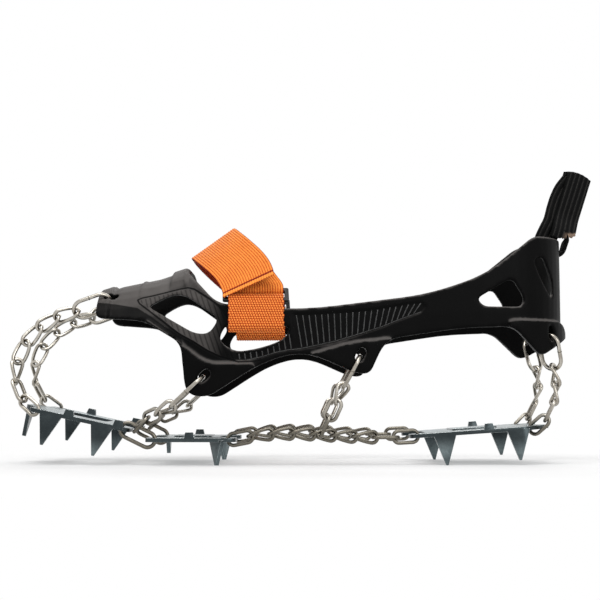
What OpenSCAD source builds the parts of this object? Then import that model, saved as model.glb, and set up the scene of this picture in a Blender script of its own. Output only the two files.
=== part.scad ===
// Ice cleat for a boot: elastomer harness, steel chains, spiked plates, instep strap and heel tab.
// Toe towards -X, heel towards +X, left side towards -Y. The lowest spike tips stand on Z = 0.

/* [Harness] */
// Thickness of the elastomer band
band_t = 4; // [3:0.5:5]
// How far the lugs stand out from the band
lug_proud = 2.5; // [1.5:0.5:3]
// How far the bead along the toe edge stands out from the band
bead_proud = 2; // [1:0.5:3]
// Width of the bead along the toe edge
bead_w = 7; // [5:1:9]
// Width of the slot in each lug
slot_w = 4.6; // [4:0.2:5.4]
// Length of the slot in each lug
slot_l = 8; // [7:0.5:10]

/* [Chains] */
// Wire diameter of the twisted chain links
wire_d = 2.1; // [1.8:0.1:2.3]
// Length that each chain link adds to its chain
chain_pitch = 10.7; // [10:0.1:12]
// Outer width of a chain link
link_w = 8.2; // [7.8:0.1:9]
// Wire diameter of the rings in the lugs
ring_wire_d = 2.2; // [1.8:0.1:2.6]
// Room between a ring and each face of its lug
ring_room = 0.8; // [0.6:0.1:1.2]
// Slack between linked wires
link_gap = 0.3; // [0.2:0.05:0.5]

/* [Plates] */
// Thickness of the steel sheet
plate_t = 2; // [1.5:0.25:2.5]
// Diameter of the holes that the chains hook into
hole_d = 6.4; // [6:0.2:8]
// Width of steel left between a hole and the plate's edge
strip_w = 2.8; // [2.4:0.1:3]
// Length of the spikes under the toe, from the middle of the sheet
toe_spike_l = 16.5; // [12:0.5:20]
// Length of the corner spikes under the ball of the foot
ball_spike_l = 13; // [10:1:16]
// Length of the short spike in the middle of the ball plate
mid_spike_l = 8; // [6:1:10]
// Length of the spikes under the heel
heel_spike_l = 16; // [12:1:18]
// Width of a spike where it leaves its plate
spike_w = 12; // [8:1:14]
// Height of the bent-up grip tabs
grip_h = 3; // [2:0.5:4]
// Height of the embossed pads that the sole rests on
pad_h = 0.8; // [0.5:0.1:1.2]

/* [Strap] */
// Width of the instep webbing
web_w = 28; // [24:1:30]
// Thickness of the instep webbing
web_t = 1.4; // [1.2:0.1:2]
// Thickness of the bars of the strap rings
bar_d = 2.2; // [2:0.1:2.8]
// Room between the webbing and what it goes round
web_room = 0.8; // [0.6:0.1:1]

/* [Heel tab] */
// Width of the heel tab's webbing
tab_w = 15; // [12:1:18]
// Thickness of the heel tab's webbing
tab_t = 1.5; // [1:0.1:2]
// Length of the heel tab above the harness
tab_l = 42; // [30:1:50]

/* [Hidden] */

// Moves the whole part along X, so that it is centred
origin_x = -3.54;

// Shape of the boot inside the harness: [X, half width, height over the foot], then the round heel
heel_x = 95;
heel_len = 42;
heel_half_w = 36.5;
heel_top = 178;
last_table = [
    [-112, 35, 86], [-104, 38.4, 88], [-95, 41, 91], [-75, 45, 95], [-60, 46.8, 100], [-45, 47, 120],
    [-25, 45.8, 137], [0, 43, 152], [30, 40, 168], [60, 38, 175], [heel_x, heel_half_w, heel_top]
];
last_power = 2.3;
spring_z = 50;
last_floor_z = 28;

// Side view of the harness: [X, Z, how far from the corner its rounding starts]
heel_rim_z = 119.8;
harness_outline = [
    [-106.5, 112, 0], [-106.5, 76, 4], [-80.5, 74.3, 6], [-60.5, 62.3, 5], [-57.8, 36.5, 7],
    [-47, 34.8, 5], [-18, 53.5, 14], [3, 58.6, 12], [27, 47.8, 6], [35.5, 46.5, 4], [44, 64.8, 8],
    [84, 70.8, 12], [110, 71.6, 5], [125, 56, 4], [152, 72, 0], [152, heel_rim_z, 0], [123, heel_rim_z, 4],
    [97, 98.8, 14], [66, 88.2, 14], [-2, 79.4, 20], [-42.5, 83, 6], [-61.8, 104, 4], [-61.8, 112, 0]
];
windows = [
    [[-78.5, 81.6, 2.5], [-66, 88.6, 7], [-58.5, 87, 4], [-41.5, 75, 3], [-46, 67.2, 5], [-53.5, 67.3, 4]],
    [[-41.8, 64, 4], [-38, 71.4, 2], [-5, 71.4, 3], [-7, 65, 6], [-19, 60.2, 8], [-33, 57.8, 5]],
    [[91.5, 86, 2.5], [95, 82, 2.5], [115, 81.8, 3], [116.5, 86.5, 3], [110, 97, 3.5]],
    [[122.2, 107, 2], [127.5, 109.4, 2.5], [133.8, 95, 6], [132.8, 86.4, 1.5], [126, 97, 6]]
];
lug_outlines = [
    [[-79, 75, 0], [-59, 61.4, 6], [-47, 52, 8], [-23, 52.5, 3], [-20, 30, 0], [-79, 30, 0]],
    [[5, 57, 2], [26, 63.2, 8], [48, 65.4, 3], [48, 40, 0], [5, 40, 0]],
    [[107.5, 75, 3], [138.5, 75, 4], [147, 64, 4], [152, 50, 0], [107.5, 50, 0]]
];

// Where the parts stand along the boot
toe_rear = [-88, 0, 18];
toe_slope = 12;
toe_len = 53;
ball_front_x = -80;
ball_rear_x = -33;
heel_front_x = 57;
heel_spike_x = 75;
heel_slope = 4;
plate_half_w = 38;
hole_edge = 5;
link_y = plate_half_w - hole_edge;
heel_half = 34;
heel_link_y = heel_half - 4;

lug_t = band_t + lug_proud;
lug_ring_half_w = lug_t / 2 + ring_room + ring_wire_d / 2;
bead_t = band_t + bead_proud;
toe_ring_half_w = bead_t / 2 + 1.5 * ring_room + ring_wire_d / 2;
link_half_w = (link_w - wire_d) / 2;
ball_z = ball_spike_l;
quarter = 90;

// Vectors and curves
function unit(v) = v / norm(v);
function square_to(v, u) = unit(v - (v * u) * u);
function mix(a, b, t) = a * (1 - t) + b * t;
function bend3(p, q, r, t) = mix(mix(p, q, t), mix(q, r, t), t);
function bend(p, t) = mix(bend3(p[0], p[1], p[2], t), bend3(p[1], p[2], p[3], t), t);
function ease(t) = 0.5 - 0.5 * cos(180 * min(1, max(0, t)));
function rounded(corners, steps = 5) = [
    for (i = [0 : len(corners) - 1])
        let (
            n = len(corners),
            b = [corners[i].x, corners[i].y],
            a = [corners[(i + n - 1) % n].x, corners[(i + n - 1) % n].y] - b,
            c = [corners[(i + 1) % n].x, corners[(i + 1) % n].y] - b,
            start = b + unit(a) * min(corners[i].z, 0.48 * norm(a)),
            end = b + unit(c) * min(corners[i].z, 0.48 * norm(c))
        )
        each corners[i].z == 0 ? [b] : [
            for (t = [0 : 1 / steps : 1.001]) bend3(start, b, end, t)
        ]
];

// Boot shape
function arc_power(v) = pow(abs(v), 2 / last_power);
function last_value(x, column) = lookup(x, [for (row = last_table) [row.x, row[column]]]);
function wall_y(x, z, off) =
    (last_value(x, 1) + off)
    * pow(1 - pow(max(0, z - spring_z) / (last_value(x, 2) + off - spring_z), last_power), 1 / last_power);
function heel_point(a, off) = [
    heel_x + (heel_len + off) * arc_power(sin(a)),
    -(heel_half_w + off) * arc_power(cos(a))
];
function last_stations(off) = concat(
    [for (row = last_table) [row.x, row.y + off, row.z + off]],
    [for (a = [20 : 7 : 90]) [heel_point(a, off).x, max(0.5, -heel_point(a, off).y), heel_top + off]]
);
function section(half_w, top) = concat(
    [[half_w, last_floor_z]],
    [for (a = [0 : 10 : 180])
        [half_w * sign(cos(a)) * arc_power(cos(a)), spring_z + (top - spring_z) * arc_power(sin(a))]],
    [[-half_w, last_floor_z]]
);

// A wire link [p, q, v, turn0, turn1, half_w, wire_d]: its inner ends bear at p and q,
// and its width lies along v, turned from turn0 to turn1
function track(half_l, half_w) = concat(
    [for (a = [-90 : 45 : 90]) [half_l - half_w + half_w * cos(a), half_w * sin(a), cos(a), sin(a)]],
    [[0, half_w, 0, 1]],
    [for (a = [90 : 45 : 270]) [half_w - half_l + half_w * cos(a), half_w * sin(a), cos(a), sin(a)]],
    [[0, -half_w, 0, -1]]
);
track_n = 12;
wire_sides = 6;
function link_points(l) =
    let (
        p = l[0], q = l[1], u = unit(q - p), v = square_to(l[2], u), w = cross(u, v),
        r = l[6] / 2,
        half_l = norm(q - p) / 2 + r + link_gap / 2
    )
    [
        for (s = track(half_l, l[5]))
            let (
                turn = mix(l[3], l[4], (s[0] + half_l) / (2 * half_l)),
                across = cos(turn) * v + sin(turn) * w,
                up = cos(turn) * w - sin(turn) * v,
                out = s[2] * u + s[3] * across,
                middle = (p + q) / 2 + s[0] * u + s[1] * across
            )
            for (k = [0 : wire_sides - 1])
                middle + r * (cos(360 * k / wire_sides) * out + sin(360 * k / wire_sides) * up)
    ];
function tube_faces(rings, sides, first) = [
    for (i = [0 : rings - 1], k = [0 : sides - 1])
        let (
            a = first + i * sides + k,
            b = first + i * sides + (k + 1) % sides,
            c = first + ((i + 1) % rings) * sides + (k + 1) % sides,
            d = first + ((i + 1) % rings) * sides + k
        )
        each [[a, b, c], [a, c, d]]
];
module links(list) {
    polyhedron(
        points = [for (l = list) each link_points(l)],
        faces = [for (i = [0 : len(list) - 1]) each tube_faces(track_n, wire_sides, i * track_n * wire_sides)]
    );
}

// Links at equal steps along a curve of four points, each turned a quarter but for the last two
curve_steps = 60;
function curve_length(p, n = curve_steps) =
    [
        for (i = 0, sum = 0; i <= n; sum = sum + norm(bend(p, (i + 1) / n) - bend(p, i / n)), i = i + 1)
            [sum, i / n]
    ];
function link_count(p) = max(2, round(curve_length(p)[curve_steps][0] / chain_pitch));
function joints_on(p) =
    let (table = curve_length(p), n = link_count(p), total = table[curve_steps][0])
    [for (i = [0 : n]) bend(p, lookup(total * i / n, table))];
function run(p, normal0, normal1, first_turn) =
    let (joints = joints_on(p), n = link_count(p))
    [for (i = [0 : n - 1]) [
        joints[i], joints[i + 1], mix(normal0, normal1, i / (n - 1)),
        i == n - 1 ? 0 : i == 0 ? first_turn : quarter,
        i == n - 2 ? quarter : 0,
        link_half_w, wire_d
    ]];

function straight(p, q) = [p, mix(p, q, 0.3), mix(p, q, 0.7), q];

// A flat strip of webbing along a path, with its width along the given directions
function strip_points(path, across, w, t) = [
    for (i = [0 : len(path) - 1])
        let (
            n = len(path) - 1,
            along = unit(path[min(n, i + 1)] - path[max(0, i - 1)]),
            side = unit(across[i]),
            up = unit(cross(along, side))
        )
        each [
            path[i] - side * w / 2 - up * t / 2, path[i] + side * w / 2 - up * t / 2,
            path[i] + side * w / 2 + up * t / 2, path[i] - side * w / 2 + up * t / 2
        ]
];
module strip(path, across, w, t) {
    last = (len(path) - 1) * 4;
    polyhedron(
        points = strip_points(path, across, w, t),
        faces = concat(
            [[0, 1, 2], [0, 2, 3], [last, last + 2, last + 1], [last, last + 3, last + 2]],
            [for (i = [0 : len(path) - 2], k = [0 : 3])
                let (a = i * 4 + k, b = i * 4 + (k + 1) % 4)
                each [[a, a + 4, b + 4], [a, b + 4, b]]]
        )
    );
}

// Where the lugs, the plates and their chains meet, on the left side
function wall_middle(x, z, t) = [x, -wall_y(x, z, t / 2), z];
function wall_out(x, z) =
    unit([wall_y(x - 1, z, 0) - wall_y(x + 1, z, 0), -2, wall_y(x, z - 1, 0) - wall_y(x, z + 1, 0)]);
function on_toe(x, y, z) = [
    toe_rear.x + x * cos(toe_slope) + z * sin(toe_slope), y,
    toe_rear.z - x * sin(toe_slope) + z * cos(toe_slope)
];
function on_heel(x, y, z) = [
    heel_spike_x + x * cos(heel_slope) - z * sin(heel_slope), y,
    heel_spike_l + x * sin(heel_slope) + z * cos(heel_slope)
];
toe_normal = on_toe(0, 0, 1) - on_toe(0, 0, 0);
heel_normal = on_heel(0, 0, 1) - on_heel(0, 0, 0);

heel_lug_angle = 47;
heel_lug_z = 68.4;
heel_lug_middle = [
    heel_point(heel_lug_angle, lug_t / 2).x, heel_point(heel_lug_angle, lug_t / 2).y, heel_lug_z
];
heel_lug_out = unit([
    heel_point(heel_lug_angle, lug_t).x - heel_point(heel_lug_angle, 0).x,
    heel_point(heel_lug_angle, lug_t).y - heel_point(heel_lug_angle, 0).y, 0
]);
toe_lug_x = -99.5;
toe_lug_angle = 57;
function toe_point(a, off) = [
    toe_lug_x, -(last_value(toe_lug_x, 1) + off) * arc_power(cos(a)),
    spring_z + (last_value(toe_lug_x, 2) + off - spring_z) * arc_power(sin(a))
];
toe_lug_middle = toe_point(toe_lug_angle, bead_t / 2);
toe_lug_out = unit(toe_point(toe_lug_angle, bead_t) - toe_point(toe_lug_angle, 0));

front_lug = [-48.5, 45.9];
front_lug_middle = wall_middle(front_lug.x, front_lug.y, lug_t);
front_lug_out = wall_out(front_lug.x, front_lug.y);
middle_lug = [31, 56.7];
middle_lug_middle = wall_middle(middle_lug.x, middle_lug.y, lug_t);
middle_lug_out = wall_out(middle_lug.x, middle_lug.y);

// Rings, from the slots of the lugs to the chains
toe_ring_end = [-117.5, -26, 80];
front_ring_end = [-64.5, -49.3, 31];
middle_ring_end = [22.5, -44, 41];
heel_ring_end = [heel_lug_middle.x, heel_lug_middle.y, 51] + 5 * cross([0, 0, 1], heel_lug_out);
ring_back = 1;
function ring_start(middle, end) = middle + unit(end - middle) * (slot_l / 2 - ring_wire_d / 2 - ring_back);
function ring(middle, out, end, half_w) = [ring_start(middle, end), end, out, 0, 0, half_w, ring_wire_d];

toe_ring = ring(toe_lug_middle, toe_lug_out, toe_ring_end, toe_ring_half_w);
front_ring = ring(front_lug_middle, front_lug_out, front_ring_end, lug_ring_half_w + ring_room / 2);
middle_ring = ring(middle_lug_middle, middle_lug_out, middle_ring_end, lug_ring_half_w);
heel_ring = ring(heel_lug_middle, heel_lug_out, heel_ring_end, lug_ring_half_w + ring_room / 2);

// Links between the plates, and the chains
// Where a link coming along way ends, once it is round the strip between a hole and the plate's edge
function strip_hook(middle, way, edge, normal) =
    middle + way * (abs(way * edge) * strip_w / 2 + abs(way * normal) * plate_t / 2 + 2 * link_gap);
hook_in = strip_w + link_gap;
plate_link_half_w = plate_t / 2 + ring_wire_d / 2 + 6 * link_gap;
toe_rear_strip = on_toe(-strip_w / 2, -link_y, 0);
ball_front_strip = [ball_front_x + strip_w / 2, -link_y, ball_z];
plate_way = unit(ball_front_strip - toe_rear_strip);
plate_link = [
    strip_hook(toe_rear_strip, -plate_way, [1, 0, 0], toe_normal),
    strip_hook(ball_front_strip, plate_way, [1, 0, 0], [0, 0, 1]), [0, 0, 1],
    0, 0, plate_link_half_w, ring_wire_d
];
plate_link_top = (plate_link[0] + plate_link[1]) / 2 + [0, 0, plate_link_half_w];

toe_way = unit([27, -14, -14]);
toe_strip_y = -link_y - toe_way.y * hole_d / 2;
toe_hook = strip_hook(on_toe(strip_w / 2 - toe_len, toe_strip_y, 0), toe_way, [1, 0, 0], toe_normal);
toe_run = [toe_ring_end, [-148, -24, 76], toe_hook - 30 * toe_way, toe_hook];
toe_links = run(toe_run, toe_lug_out, toe_normal, quarter);

front_way = unit([-8, 8, -15]);
front_hook = plate_link_top + front_way * (ring_wire_d / 2 + link_gap);
front_run = [
    front_ring_end, front_ring_end + 8 * unit(front_ring_end - front_lug_middle),
    front_hook - 10 * front_way, front_hook
];
front_links = run(front_run, front_lug_out, [0, -1, 0], quarter);

ball_hook = [ball_rear_x - hook_in, -link_y, ball_z];
heel_front_hook = on_heel(heel_front_x - heel_spike_x + hook_in, -heel_link_y, 0);
sole_bow = 4;
sole_run = [ball_hook, [-4, -link_y - sole_bow, 21], [22, -link_y - sole_bow, 12], heel_front_hook];
sole_links = run(sole_run, [0, 0, 1], heel_normal, 0);

middle_index = floor(len(sole_links) / 2);
middle_link = sole_links[middle_index];
middle_leg = (middle_link[0] + middle_link[1]) / 2 + link_half_w * unit([0, -1, 1]);
middle_way = unit(middle_leg - middle_ring_end);
middle_hook = middle_leg + middle_way * (wire_d / 2 + 3 * link_gap);
middle_run = straight(middle_ring_end, middle_hook);
middle_links = run(middle_run, middle_lug_out, [0, -1, 0], quarter);

heel_cut = 7;
heel_corner = [50, heel_half - heel_cut];
heel_edge = unit([1, -1, 0]);
heel_strip = on_heel(
    heel_corner.x - strip_w / 2 * heel_edge.x, -heel_corner.y - strip_w / 2 * heel_edge.y, 0
);
heel_way = unit([-14, 7, -9]);
heel_hook =
    strip_hook(heel_strip, heel_way, heel_edge, heel_normal) + link_gap * (2 * heel_way - heel_normal);
heel_run = [heel_ring_end, heel_ring_end + [3, -1, -9], heel_hook - 16 * heel_way, heel_hook];
heel_links = run(heel_run, heel_lug_out, [-0.37, 0.37, 0.86], quarter);

// Instep strap, on the left side
strap_x = -22.5;
strap_bar_bottom_z = windows[1][1].y;
lower_bar_z = 85;
strap_bar_low = wall_middle(strap_x, strap_bar_bottom_z, band_t);
strap_bar_top_z = 81;
strap_bar_z = (strap_bar_bottom_z + strap_bar_top_z) / 2;
strap_along = unit(
    wall_middle(strap_x + web_w / 2, strap_bar_z, band_t)
    - wall_middle(strap_x - web_w / 2, strap_bar_z, band_t)
);
strap_up = square_to(wall_middle(strap_x, strap_bar_top_z, band_t) - strap_bar_low, strap_along);
strap_out = cross(strap_along, strap_up);
loop_r = max(band_t, bar_d) / 2 + web_room + web_t / 2;
loop_bottom = strap_bar_low + strap_up * web_room;
loop_top = strap_bar_low + strap_up * (lower_bar_z - strap_bar_bottom_z);
ring_tilt = 38;
ring_turn_r = (bar_d + web_t + 1.5 * web_room) / 2;
ring_up = cos(ring_tilt) * strap_up - sin(ring_tilt) * strap_out;
ring_out = cross(strap_along, ring_up);
bar_step =
    norm([loop_r * sin(ring_tilt), ring_turn_r * cos(ring_tilt)]) + ring_turn_r + web_t + web_room / 2;
ring_inner_h = bar_step - bar_d;
ring_inner_w = web_w + 2 * web_room;
ring_outer_h = ring_inner_h + 2 * bar_d;
ring_outer_w = ring_inner_w + 2 * bar_d;
ring_middle = loop_top + ring_up * bar_step / 2;
upper_bar = loop_top + ring_up * bar_step;
function other_side(p) = [p.x, -p.y, p.z];

strap_top = [-46, 0, 116.5];
strap_width_way = [0.812, 0, 0.584];
tail_lift = web_t + web_room;
band_start = upper_bar + ring_out * ring_turn_r + ring_up * bar_d;
band_end = other_side(upper_bar - ring_out * ring_turn_r + ring_up * bar_d);
tail_start = other_side(band_start);
tail_end_share = 0.01;
strap_peak = strap_top * 4 / 3 - (band_start + band_end) / 6;
strap_arch = [
    band_start, [strap_peak.x, band_start.y / 2, strap_peak.z],
    [strap_peak.x, band_end.y / 2, strap_peak.z], band_end
];
function width_way(t) = mix([1, 0, 0], strap_width_way, sin(180 * t));

// Heel tab
tab_lean = 18;
tab_bar_h = 6;
tab_bar_z = heel_rim_z - tab_bar_h / 2;
tab_bar_x = heel_x + heel_len + band_t / 2;
tab_wrap_r = norm([band_t, tab_bar_h]) / 2 + web_room + tab_t / 2;
tab_way = [sin(tab_lean), 0, cos(tab_lean)];
tab_back = [cos(tab_lean), 0, -sin(tab_lean)];
tab_turn = 65;
function tab_twist(s) = tab_turn * min(1, max(0, s - tab_wrap_r) / (tab_l * 0.4));
function tab_spread(s) =
    mix(tab_wrap_r, tab_t / 2 + web_room / 4, ease((s - tab_wrap_r) / (2 * tab_wrap_r)));
function tab_across(s) = cos(tab_twist(s)) * [0, 1, 0] + sin(tab_twist(s)) * tab_back;
function tab_off(s) = cos(tab_twist(s)) * tab_back - sin(tab_twist(s)) * [0, 1, 0];
function tab_leg(s, side) = [tab_bar_x, 0, tab_bar_z] + s * tab_way + side * tab_spread(s) * tab_off(s);
tab_steps = 14;

// Boot-shaped solid, grown by off
module last_solid(off) {
    stations = last_stations(off);
    for (i = [0 : len(stations) - 2])
        hull()
            for (s = [stations[i], stations[i + 1]])
                translate([s.x, 0, 0])
                    rotate([90, 0, 90])
                        linear_extrude(0.02)
                            polygon(section(s.y, s.z));
}

module side_cut(outline) {
    rotate([90, 0, 0])
        linear_extrude(200, center = true)
            polygon(outline);
}

// Slot through a lug, along the way its ring leaves and square to the lug's face
module lug_slot(middle, out, end) {
    way = square_to(end - middle, out);
    side = cross(out, way);
    multmatrix([
        [way.x, side.x, out.x, middle.x], [way.y, side.y, out.y, middle.y],
        [way.z, side.z, out.z, middle.z], [0, 0, 0, 1]
    ])
        hull()
            for (x = [-1, 1])
                translate([x * (slot_l - slot_w) / 2, 0, 0])
                    cylinder(h = 3 * lug_t, d = slot_w, center = true, $fn = 20);
}

module lug_slots() {
    lug_slot(toe_lug_middle, toe_lug_out, toe_ring_end);
    lug_slot(front_lug_middle, front_lug_out, front_ring_end);
    lug_slot(middle_lug_middle, middle_lug_out, middle_ring_end);
    lug_slot(heel_lug_middle, heel_lug_out, heel_ring_end);
}

module harness() {
    color([0.06, 0.06, 0.065])
        difference() {
            intersection() {
                union() {
                    last_solid(band_t);
                    intersection() {
                        last_solid(lug_t);
                        for (lug = lug_outlines)
                            side_cut(rounded(lug));
                    }
                    intersection() {
                        last_solid(bead_t);
                        translate([harness_outline[0].x, -100, 60])
                            cube([bead_w, 200, 60]);
                    }
                }
                side_cut(rounded(harness_outline));
            }
            last_solid(0);
            for (window = windows)
                side_cut(rounded(window));
            lug_slots();
            mirror([0, 1, 0])
                lug_slots();
            translate([tab_bar_x, 0, tab_bar_z - tab_bar_h / 2 - tab_t - web_room])
                cube([4 * band_t, tab_w + 4 * web_room, 2 * (tab_t + web_room)], center = true);
        }
}

module heel_tab() {
    down = [for (i = [tab_steps : -1 : 1]) tab_l * i / tab_steps];
    round_bar = [for (a = [0 : 20 : 180]) a];
    color([0.09, 0.09, 0.09])
        strip(
            concat(
                [for (s = down) tab_leg(s, -1)],
                [for (a = round_bar)
                    [tab_bar_x, 0, tab_bar_z] - tab_wrap_r * (cos(a) * tab_back + sin(a) * tab_way)],
                [for (i = [1 : tab_steps]) tab_leg(tab_l * i / tab_steps, 1)]
            ),
            concat(
                [for (s = down) tab_across(s)],
                [for (a = round_bar) [0, 1, 0]],
                [for (i = [1 : tab_steps]) tab_across(tab_l * i / tab_steps)]
            ),
            tab_w, tab_t
        );
}

// Instep strap
module strap_loop() {
    low_turn = [for (a = [180 : 30 : 360]) loop_bottom + loop_r * (cos(a) * strap_out + sin(a) * strap_up)];
    top_turn = [for (a = [0 : 30 : 180])
        loop_top + loop_r * cos(a) * strap_out + ring_turn_r * sin(a) * strap_up];
    path = concat(
        [mix(top_turn[6], low_turn[0], 0.52)], low_turn, top_turn, [mix(top_turn[6], low_turn[0], 0.48)]
    );
    color([0.93, 0.36, 0.06])
        strip(path, [for (p = path) strap_along], web_w, web_t);
}

function box_corners(w, h, r) =
    [[-w / 2, -h / 2, r], [w / 2, -h / 2, r], [w / 2, h / 2, r], [-w / 2, h / 2, r]];

module strap_ring() {
    m = ring_middle;
    color([0.05, 0.05, 0.05])
        multmatrix([
            [strap_along.x, ring_up.x, ring_out.x, m.x], [strap_along.y, ring_up.y, ring_out.y, m.y],
            [strap_along.z, ring_up.z, ring_out.z, m.z], [0, 0, 0, 1]
        ])
            linear_extrude(bar_d, center = true)
                difference() {
                    polygon(rounded(box_corners(ring_outer_w, ring_outer_h, bar_d / 2)));
                    polygon(rounded(box_corners(ring_inner_w, ring_inner_h, bar_d / 4)));
                }
}

arch_steps = 24;
turn_under = [for (a = [180 : 30 : 360]) upper_bar + ring_turn_r * (cos(a) * ring_out + sin(a) * ring_up)];
sewn_end_l = 7;

module strap_band() {
    shares = [for (i = [1 : arch_steps - 1]) i / arch_steps];
    color([0.93, 0.36, 0.06])
        strip(
            concat(
                [turn_under[0] + ring_up * sewn_end_l], turn_under,
                [for (t = shares) bend(strap_arch, t)],
                [for (p = turn_under) other_side(p)]
            ),
            concat(
                [strap_along], [for (p = turn_under) strap_along],
                [for (t = shares) width_way(t)],
                [for (p = turn_under) other_side(strap_along)]
            ),
            web_w, web_t
        );
}

// The tail lies on the band, and stands off it at its free end and where it comes round the right ring's bar
tail_turn_share = 0.65;
tail_end_lift = 3.6;
tail_end_way = [0.92, 0, 0.4];
function tail_off(t) =
    mix(tail_lift, 2 * ring_turn_r, ease((t - tail_turn_share) / (1 - tail_turn_share)))
    + tail_end_lift * ease(1 - t / (1 - tail_turn_share));
function tail_way(t) = t < 0.5 ? mix(tail_end_way, strap_width_way, sin(180 * t)) : width_way(t);
function tail_point(t) =
    let (along = unit(bend(strap_arch, t + 0.01) - bend(strap_arch, t - 0.01)))
    bend(strap_arch, t) + tail_off(t) * unit(cross(tail_way(t), along));

module strap_tail() {
    shares = [for (i = [0 : arch_steps]) mix(tail_end_share, 1, i / arch_steps)];
    color([0.93, 0.36, 0.06])
        strip([for (t = shares) tail_point(t)], [for (t = shares) tail_way(t)], web_w, web_t);
}

// Plates
module sheet(outline) {
    other_half = [for (i = [len(outline) - 1 : -1 : 0]) other_side(outline[i])];
    linear_extrude(plate_t, center = true)
        polygon(rounded(concat(outline, other_half)));
}

// Flat triangle bent down from the sheet, with its point shifted by rake
spike_point = 1.2;
module spike(w, l, rake) {
    rotate([90, 0, 0])
        linear_extrude(plate_t, center = true)
            polygon([[-w / 2, 0], [rake - spike_point / 2, -l], [rake + spike_point / 2, -l], [w / 2, 0]]);
}

// Flat tab bent up from the sheet
grip_w = 6;
module grip() {
    rotate([90, 0, 0])
        linear_extrude(plate_t, center = true)
            polygon([
                [-grip_w / 2, 0], [grip_w / 2, 0],
                [grip_w / 3, plate_t / 2 + grip_h], [-grip_w / 3, plate_t / 2 + grip_h]
            ]);
}

module both_edges(x, half_w) {
    for (side = [-1, 1])
        translate([x, side * (half_w - plate_t / 2), 0])
            children();
}

module hook_holes(x, y) {
    for (side = [-1, 1])
        translate([x, side * y, 0])
            cylinder(h = 4 * plate_t, d = hole_d, center = true, $fn = 40);
}

hole_in = strip_w + hole_d / 2;
toe_nose = 7;
toe_spikes_x = [-14, -41];
toe_grips_x = [-6, -32];
toe_window = [22, 34];
toe_rake = -1.5;
nose_tilt = 10;
module toe_plate() {
    color([0.62, 0.68, 0.72])
        translate(toe_rear)
            rotate([0, toe_slope, 0]) {
                difference() {
                    sheet([
                        [-9, 13, 4], [0, 17, 3], [0, plate_half_w, 5], [-toe_len, plate_half_w, 5],
                        [-toe_len, 17, 3], [-toe_len - toe_nose, 10, 3]
                    ]);
                    hook_holes(-hole_in, link_y);
                    hook_holes(hole_in - toe_len, link_y);
                    translate([-toe_len / 2, 0, 0])
                        linear_extrude(4 * plate_t, center = true)
                            polygon(rounded(box_corners(toe_window.x, toe_window.y, 6)));
                }
                for (x = toe_spikes_x)
                    both_edges(x, plate_half_w)
                        spike(spike_w, toe_spike_l, toe_rake);
                for (x = toe_grips_x)
                    both_edges(x, plate_half_w)
                        grip();
                translate([plate_t / 2 - toe_len - toe_nose, 0, 0])
                    rotate([0, nose_tilt, 90])
                        spike(spike_w, toe_spike_l, 0);
            }
}

ball_turn = 55;
ball_spike_in = [10, 3.5];
mid_spike_in = 9;
ball_pad = [20, 30];
ball_pad_x = -57;
module ball_plate() {
    color([0.62, 0.68, 0.72])
        translate([0, 0, ball_z]) {
            difference() {
                sheet([
                    [ball_front_x + 8, 12, 4], [ball_front_x, 17, 3], [ball_front_x, plate_half_w, 5],
                    [ball_rear_x, plate_half_w, 5], [ball_rear_x, 20, 3], [ball_rear_x - 10, 14, 4]
                ]);
                hook_holes(ball_front_x + hole_in, link_y);
                hook_holes(ball_rear_x - hole_in, link_y);
            }
            for (side = [-1, 1])
                translate([ball_rear_x - ball_spike_in.x, side * (plate_half_w - ball_spike_in.y), 0])
                    rotate([0, 0, side * ball_turn])
                        spike(spike_w, ball_spike_l, 0);
            translate([ball_front_x + mid_spike_in, 0, 0])
                rotate([0, 0, 90])
                    spike(spike_w, mid_spike_l, 0);
            both_edges(ball_pad_x, plate_half_w)
                grip();
            translate([ball_pad_x, 0, plate_t / 2])
                linear_extrude(pad_h)
                    polygon(rounded(box_corners(ball_pad.x, ball_pad.y, 3)));
        }
}

heel_spikes_x = [0, 38];
heel_grip_x = 23;
heel_pad_x = 18;
heel_pad = [24, 30];
heel_front = heel_front_x - heel_spike_x;
module heel_plate() {
    color([0.62, 0.68, 0.72])
        translate([heel_spike_x, 0, heel_spike_l])
            rotate([0, -heel_slope, 0]) {
                difference() {
                    sheet([
                        [heel_front + 10, 14, 4], [heel_front, 20, 3], [heel_front, heel_half, 5],
                        [heel_corner.x - heel_cut, heel_half, 3],
                        [heel_corner.x + heel_cut, heel_corner.y - heel_cut, 3],
                        [heel_corner.x + 2, 12, 4]
                    ]);
                    hook_holes(heel_front + hole_in, heel_link_y);
                    hook_holes(heel_corner.x - hole_in * cos(45), heel_corner.y - hole_in * cos(45));
                }
                for (x = heel_spikes_x)
                    both_edges(x, heel_half)
                        spike(spike_w, heel_spike_l, 0);
                both_edges(heel_grip_x, heel_half)
                    grip();
                translate([heel_pad_x, 0, plate_t / 2])
                    linear_extrude(pad_h)
                        polygon(rounded(box_corners(heel_pad.x, heel_pad.y, 3)));
            }
}

// Wire pieces of one side
module steel_links(list) {
    color([0.72, 0.69, 0.64])
        links(list);
}

module placed() {
    translate([origin_x, 0, 0])
        children();
}

module right_side() {
    placed()
        mirror([0, 1, 0])
            children();
}

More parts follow.
